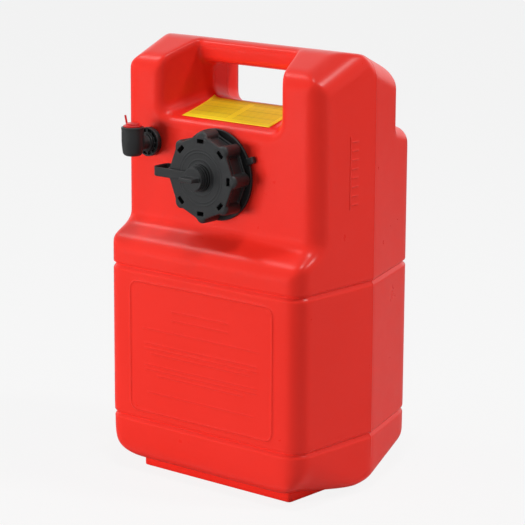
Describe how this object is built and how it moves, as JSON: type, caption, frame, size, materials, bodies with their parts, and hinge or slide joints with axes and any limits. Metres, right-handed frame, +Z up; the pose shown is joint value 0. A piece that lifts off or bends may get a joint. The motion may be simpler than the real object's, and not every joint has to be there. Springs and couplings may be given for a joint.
{
  "type": "portable outboard fuel tank",
  "caption": "Upright blow-moulded fuel tank with a carrying bar, lobed vented filler cap on a tether, and a swivelling hose elbow with a pickup tube.",
  "frame": {"origin": "on the foot's underside, below the filler axis, in the crease plane where the rear half starts to taper", "axes": "+Z up, -Y towards the filler side, +X to the right of a viewer facing the filler"},
  "size_m": [0.2346, 0.224, 0.4009],
  "materials": {
    "tank_plastic": "smooth semi-gloss red polyethylene",
    "label_sheet": "matt yellow sheet",
    "black_plastic": "matt moulded, fine grain",
    "seal_rubber": "smooth black rubber",
    "steel": "bright stainless wire and turned steel",
    "red_plug": "soft red moulded plastic",
    "tube_plastic": "natural translucent polyethylene, drawn opaque",
    "mesh": "fine woven screen, drawn as a plain sleeve"
  },
  "bodies": {
    "tank": {"tank_body": "tank_plastic", "label": "label_sheet", "tether_collar": "black_plastic", "outlet_gasket": "seal_rubber", "outlet_nut": "black_plastic", "pickup_housing": "black_plastic", "check_seat": "steel", "check_spring": "steel", "pickup_tube": "tube_plastic", "strainer_cage": "black_plastic", "strainer_mesh": "mesh"},
    "tether": {"tether_strap": "black_plastic"},
    "cap": {"fill_cap": "black_plastic", "cap_gasket": "seal_rubber"},
    "vent_seat": {"vent_seal": "seal_rubber"},
    "vent": {"vent_screw": "black_plastic", "vent_clip": "steel"},
    "elbow": {"outlet_elbow": "black_plastic", "elbow_o_ring": "seal_rubber"},
    "plug": {"transport_plug": "red_plug"},
    "ball": {"check_ball": "steel"}
  },
  "joints": [
    {"name": "cap_lift", "type": "slide", "parent": "tank", "child": "tether", "axis": [0, -1, 0], "range_m": [0, 0.06]},
    {"name": "cap_turn", "type": "hinge", "parent": "tether", "child": "cap", "pos_m": [0, -0.078, 0.2875], "axis": [0, -1, 0], "continuous": true},
    {"name": "vent_lift", "type": "slide", "parent": "cap", "child": "vent_seat", "axis": [0, -1, 0], "range_m": [0, 0.0023]},
    {"name": "vent_turn", "type": "hinge", "parent": "vent_seat", "child": "vent", "pos_m": [0, -0.078, 0.2875], "axis": [0, -1, 0], "range_deg": [0, 540]},
    {"name": "elbow_swivel", "type": "hinge", "parent": "tank", "child": "elbow", "pos_m": [-0.08, -0.078, 0.3087], "axis": [0, -1, 0], "range_deg": [-90, 90]},
    {"name": "plug_pull", "type": "slide", "parent": "elbow", "child": "plug", "axis": [0, 0, 1], "range_m": [0, 0.03]},
    {"name": "ball_lift", "type": "slide", "parent": "tank", "child": "ball", "axis": [0, 0, 1], "range_m": [0, 0.002], "stiffness_N_per_m": 40, "springref_m": -0.002, "deforming": ["check_spring"]}
  ],
  "couplings": [
    {"joint": "vent_lift", "follows": "vent_turn", "m_per_rad": 0.00023873}
  ]
}
